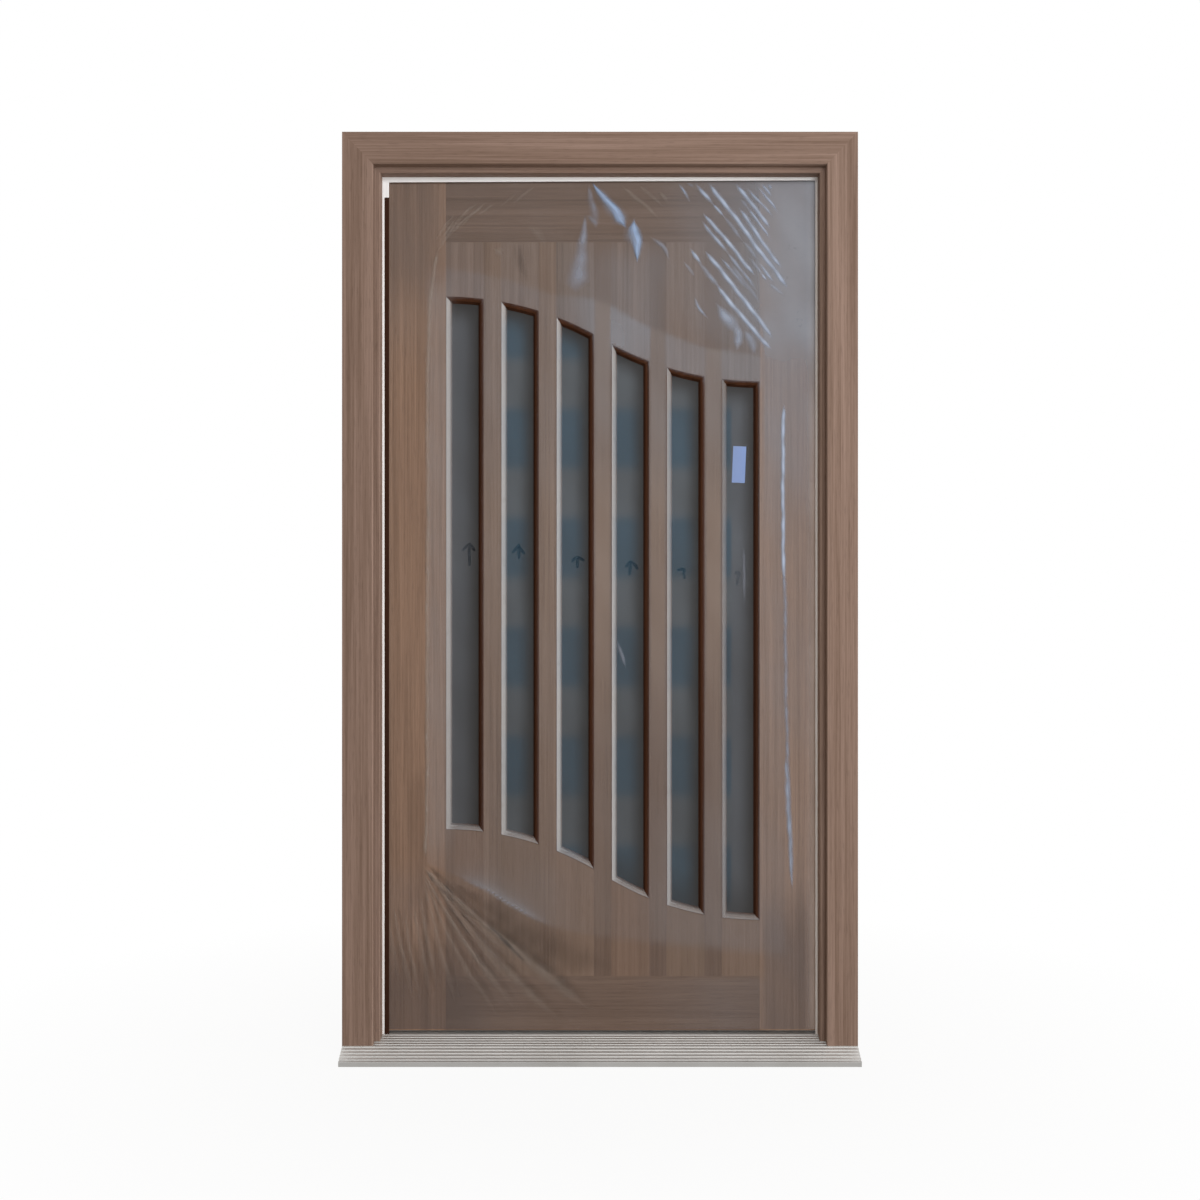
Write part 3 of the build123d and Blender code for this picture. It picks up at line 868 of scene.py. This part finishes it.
# One broad fold in two parts, near the middle of the top edge, with a painted reflection: a bright
# blue core in a soft glow
flash = ((-19, 2061), (-9, 2047), (2, 2031), (17, 2016), (28, 2002), (40, 1988), (50, 1974), (62, 1952))
flash_widths = np.array((5, 9, 14, 17, 20, 23, 25, 16))
flash_end = ((81, 1974), (78, 1952), (81, 1936), (88, 1919), (90, 1900), (88, 1870))
flash_end_widths = np.array((10, 26, 30, 25, 16, 8))
flash_glow = 0.3
flash_gleam = 1.25
glow_spread = 1.7
glow_end_spread = 1.5
creases.append((flash, glow_spread * flash_widths, flash_glow, lavender_reflection))
creases.append((flash_end, glow_end_spread * flash_end_widths, flash_glow, lavender_reflection))
creases.append((flash, flash_widths, flash_gleam, blue_reflection))
creases.append((flash_end, flash_end_widths, flash_gleam, blue_reflection))
short_end = 28
folds = [(*crease, short_end) for crease in creases]

# The fan's folds, painted highlights, are widest at their lower ends, with painted shade in a hollow
# beside each, and one broad band of painted shade lies below the ridge at the foot of the field.
fan_folds = (
    (((-418, 436), (-332, 350), (-275, 301), (-212, 250), (-154, 204), (-86, 146), (-17, 95)), 26, 0.26),
    (((-418, 434), (-350, 342), (-309, 290), (-263, 238), (-200, 169), (-131, 106), (-85, 60)), 20, 0.19),
    (((-420, 426), (-361, 319), (-327, 267), (-281, 204), (-235, 146), (-200, 93)), 17, 0.19),
    (((-420, 418), (-378, 313), (-350, 250), (-309, 181), (-269, 123), (-246, 85)), 15, 0.17),
    (((-420, 410), (-398, 319), (-381, 250), (-361, 180), (-344, 120)), 13, 0.17),
    (((-427, 370), (-418, 307), (-404, 238), (-387, 146)), 12, 0.17),
    (((-440, 340), (-430, 270), (-414, 195), (-402, 130)), 12, 0.16),
    (((-464, 335), (-453, 250), (-439, 181), (-429, 128)), 12, 0.16),
    (((-490, 345), (-476, 261), (-458, 192), (-446, 128)), 13, 0.17),
    (((-503, 320), (-492, 250), (-479, 180)), 12, 0.13),
    (((-380, 388), (-320, 322), (-252, 262), (-190, 205)), 10, 0.14),
    (((-376, 352), (-321, 261), (-292, 215), (-246, 152)), 9, 0.14),
    (((-340, 319), (-275, 238), (-215, 160)), 9, 0.12),
)
hollow_offset = (10.0, 8.0)
hollow_depth = 0.7
narrow_end = 0.45
wide_end = 1.75
soft_end = 140
for ray, width, gleam in fan_folds:
    spread = np.linspace(narrow_end, wide_end, len(ray)) * width
    folds.append((ray, spread, gleam, lit_brown_highlight, soft_end))
    hollow = [(x + hollow_offset[0], z + hollow_offset[1]) for x, z in ray]
    folds.append((hollow, spread, hollow_depth * gleam, hollow_painted_shade, soft_end))
shade_below_ridge = ((-352, 400), (-304, 370), (-235, 318), (-177, 278), (-120, 246), (-62, 224), (30, 198))
shade_below_widths = (14, 30, 64, 84, 100, 100, 84)
folds.append((shade_below_ridge, shade_below_widths, 0.18, hollow_painted_shade, soft_end))

# Each fold lies a hair in front of the one before it, so that folds that cross share no face.
first_lift = 0.3
lift_step = 0.01
crease_height = 1.6
crease_step = 6.0
smoothing_rounds = 4
crest_points = 9
crest = np.linspace(-1, 1, crest_points)
crease_points = []
crease_faces = []
crease_gleam = []
crease_tone = []
for number, (path, widths, gleam, tone, end) in enumerate(folds):
    # One fold: a low ridge along its path that wanders a little and fades out at its sides and ends
    path = np.array(path, float)
    widths = np.broadcast_to(widths, len(path))
    run = np.concatenate([[0], np.cumsum(np.linalg.norm(np.diff(path, axis=0), axis=1))])
    steps = np.linspace(0, run[-1], max(8, int(run[-1] / crease_step)))
    line = np.stack([np.interp(steps, run, path[:, 0]), np.interp(steps, run, path[:, 1])], 1)
    for _ in range(smoothing_rounds):
        line[1:-1] = (line[:-2] + 2 * line[1:-1] + line[2:]) / 4
    heading = np.gradient(line, axis=0)
    heading /= np.linalg.norm(heading, axis=1)[:, None]
    phase = 1.7 * number
    taper = min(0.4 * run[-1], end)
    start = min(taper, short_end)
    swell = 0.05 + 0.95 * fade(steps, 0, start) * fade(steps, run[-1], run[-1] - taper)
    half = 0.6 * np.interp(steps, run, widths) * swell ** 0.5
    wander = 0.1 * half * (np.sin(steps / 23 + phase) + 0.6 * np.sin(steps / 8 + 2.3 * phase))
    lively = 0.86 + 0.24 * np.sin(steps / 9 + 2 * phase) * np.sin(steps / 31 + phase)
    first = len(crease_points)
    for i in range(len(steps)):
        for place in crest:
            offset = half[i] * place + wander[i]
            ridge = crease_height * (1 - place ** 2) ** 2 * swell[i] * min(half[i] / 5, 1)
            crease_points.append((
                (line[i, 0] - heading[i, 1] * offset) * mm,
                film_low.y - (first_lift + lift_step * number + ridge) * mm,
                (line[i, 1] + heading[i, 0] * offset) * mm,
            ))
            # The fold's painted colour, a highlight on the bright folds and shade on the dark ones, is
            # strongest along its middle
            shine = 1.2 * lively[i] * swell[i] ** 0.7 * (1 - place ** 2) * math.exp(-1.4 * place ** 2)
            crease_gleam.append(min(gleam * shine, 1.0))
            crease_tone.extend(paint(tone))
        if i:
            for column in range(crest_points - 1):
                corner = first + (i - 1) * crest_points + column
                above = corner + crest_points
                crease_faces.append((corner, above, above + 1, corner + 1))

crease_mesh = lay_film("film_creases", crease_points, crease_faces, crease_gleam, crease_tone)
film_creases = new_piece("film_creases", crease_mesh, wrapping_plastic, "leaf")


# Film at the lights: a grey-white film laid on the chamfer of the bead along the left side and the
# foot of every light, a painted highlight of the light from the right and above.
bead_film_lift = 0.25 * mm
# How bright the painted highlight is on each light's left side, from the leftmost light, and on the feet
bead_highlight_share = (1.0, 0.97, 0.92, 0.84, 0.74, 0.52)
foot_highlight_share = 0.6
bead_film_points = []
bead_film_faces = []
bead_highlight_gleam = []
for i in range(1, light_count + 1):
    # The chamfers that face right or up, which are those at the left and the foot of the light
    skin = bmesh.new()
    skin.from_mesh(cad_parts[f"outer_bead_{i}"].data)
    bmesh.ops.remove_doubles(skin, verts=skin.verts[:], dist=0.01 * mm)
    skin.normal_update()
    bare = [f for f in skin.faces if f.normal.y > -0.2 or max(f.normal.x, f.normal.z) < 0.3]
    bmesh.ops.delete(skin, geom=bare, context="FACES")
    skin.normal_update()
    skin.verts.index_update()
    front = min(vert.co.y for vert in skin.verts)
    first = len(bead_film_points)
    for vert in skin.verts:
        on_foot = vert.normal.z > vert.normal.x
        share = foot_highlight_share if on_foot else bead_highlight_share[i - 1]
        gleam = np.interp((vert.co.y - front) / mm, (0, 6, 18), (0.7, 0.6, 0.12)) * share
        bead_film_points.append(vert.co + vert.normal * bead_film_lift)
        bead_highlight_gleam.append(gleam)
    for face in skin.faces:
        bead_film_faces.append([first + vert.index for vert in face.verts])
    skin.free()
bead_highlight_tone = paint("#C8C3BE") * len(bead_film_points)
bead_highlight_mesh = lay_film("bead_painted_highlight", bead_film_points, bead_film_faces, bead_highlight_gleam, bead_highlight_tone)
bead_painted_highlight = new_piece("bead_painted_highlight", bead_highlight_mesh, wrapping_plastic, "leaf")


# Studio: a pale floor under the sill and white all round, a broad soft light from the upper right
# in front, a smaller one from the right, and a camera level with the middle of the door.
floor_reach = 30.0
floor_mesh = bpy.data.meshes.new("studio_floor")
floor_mesh.from_pydata(
    [
        (-floor_reach, -floor_reach, 0), (floor_reach, -floor_reach, 0),
        (floor_reach, floor_reach, 0), (-floor_reach, floor_reach, 0),
    ],
    [], [(0, 1, 2, 3)],
)
floor = bpy.data.objects.new("studio_floor", floor_mesh)
bpy.context.scene.collection.objects.link(floor)
floor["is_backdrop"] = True


def seen_directly(tree):
    """1 for rays from the camera, mirrored in a surface or through glass, and 0 for the light on things."""
    rays = add_node(tree, "ShaderNodeLightPath").outputs
    direct = add_node(
        tree, "ShaderNodeMath", {0: rays["Is Camera Ray"], 1: rays["Is Glossy Ray"]}, operation="MAXIMUM",
    )
    return add_node(
        tree, "ShaderNodeMath", {0: direct.outputs[0], 1: rays["Is Transmission Ray"]}, operation="MAXIMUM",
    ).outputs[0]


floor_finish = bpy.data.materials.new("pale_floor")
floor_finish.use_nodes = True
tree = floor_finish.node_tree
tree.nodes.clear()
matt = add_node(tree, "ShaderNodeBsdfDiffuse", {"Color": paint("#BDBAB5")})
glow = add_node(tree, "ShaderNodeEmission", {"Color": (1, 1, 1, 1), "Strength": 1.0})
spot = add_node(tree, "ShaderNodeTexCoord").outputs["Object"]
from_door = add_node(tree, "ShaderNodeVectorMath", {0: spot}, operation="LENGTH")
whiteness = add_node(
    tree, "ShaderNodeMapRange",
    {"Value": from_door.outputs["Value"], "From Min": 0.5, "From Max": 1.8, "To Min": 0.94, "To Max": 1.0},
)
glow_share = add_node(
    tree, "ShaderNodeMath",
    {0: seen_directly(tree), 1: whiteness.outputs[0]}, operation="MULTIPLY",
)
mixed = add_node(
    tree, "ShaderNodeMixShader",
    {0: glow_share.outputs[0], 1: matt.outputs["BSDF"], 2: glow.outputs["Emission"]},
)
add_node(tree, "ShaderNodeOutputMaterial", {"Surface": mixed.outputs["Shader"]})
floor_mesh.materials.append(floor_finish)

ambient = 0.32
world = bpy.data.worlds.new("studio")
bpy.context.scene.world = world
world.use_nodes = True
tree = world.node_tree
tree.nodes.clear()
backdrop = seen_directly(tree)
strength = add_node(tree, "ShaderNodeMapRange", {"Value": backdrop, "To Min": ambient, "To Max": 1.0})
tint = add_node(
    tree, "ShaderNodeMix",
    {0: backdrop, 6: paint("#FFE6CC"), 7: (1, 1, 1, 1)}, data_type="RGBA",
)
sky = add_node(tree, "ShaderNodeBackground", {"Color": tint.outputs[2], "Strength": strength.outputs[0]})
add_node(tree, "ShaderNodeOutputWorld", {"Surface": sky.outputs["Background"]})


def softbox(name, place, aim, size, watts, tint, mirrored):
    """A square soft light that points at a spot, and may or may not show in glossy surfaces."""
    lamp = bpy.data.lights.new(name, "AREA")
    lamp.size = size
    lamp.energy = watts
    lamp.color = paint(tint)[:3]
    light = bpy.data.objects.new(name, lamp)
    light.location = place
    light.rotation_euler = (Vector(aim) - Vector(place)).to_track_quat("-Z", "Y").to_euler()
    light.visible_glossy = mirrored
    bpy.context.scene.collection.objects.link(light)


softbox(
    "key_softbox", place=(1.4, -3.9, 2.4), aim=(0, 0, 1.15), size=2.2, watts=141,
    tint="#F0F6FF", mirrored=False,
)
softbox(
    "side_softbox", place=(3.8, -1.0, 1.6), aim=(0, 0, 1.1), size=1.6, watts=65,
    tint="#FFFFFF", mirrored=True,
)

# The camera looks level, so the middle row of the photograph's square frame is at its own height.
camera_distance = 3.5
camera_height = 1.07
focal_px = 1505
frame_px = 1200
lens_data = bpy.data.cameras.new("camera")
lens_data.sensor_width = 36.0
lens_data.lens = lens_data.sensor_width * focal_px / frame_px
camera = bpy.data.objects.new("camera", lens_data)
camera.location = (0, -camera_distance, camera_height)
camera.rotation_euler = (math.radians(90), 0, 0)
bpy.context.scene.collection.objects.link(camera)
bpy.context.scene.camera = camera
bpy.context.scene.view_settings.view_transform = "Standard"

low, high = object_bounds()
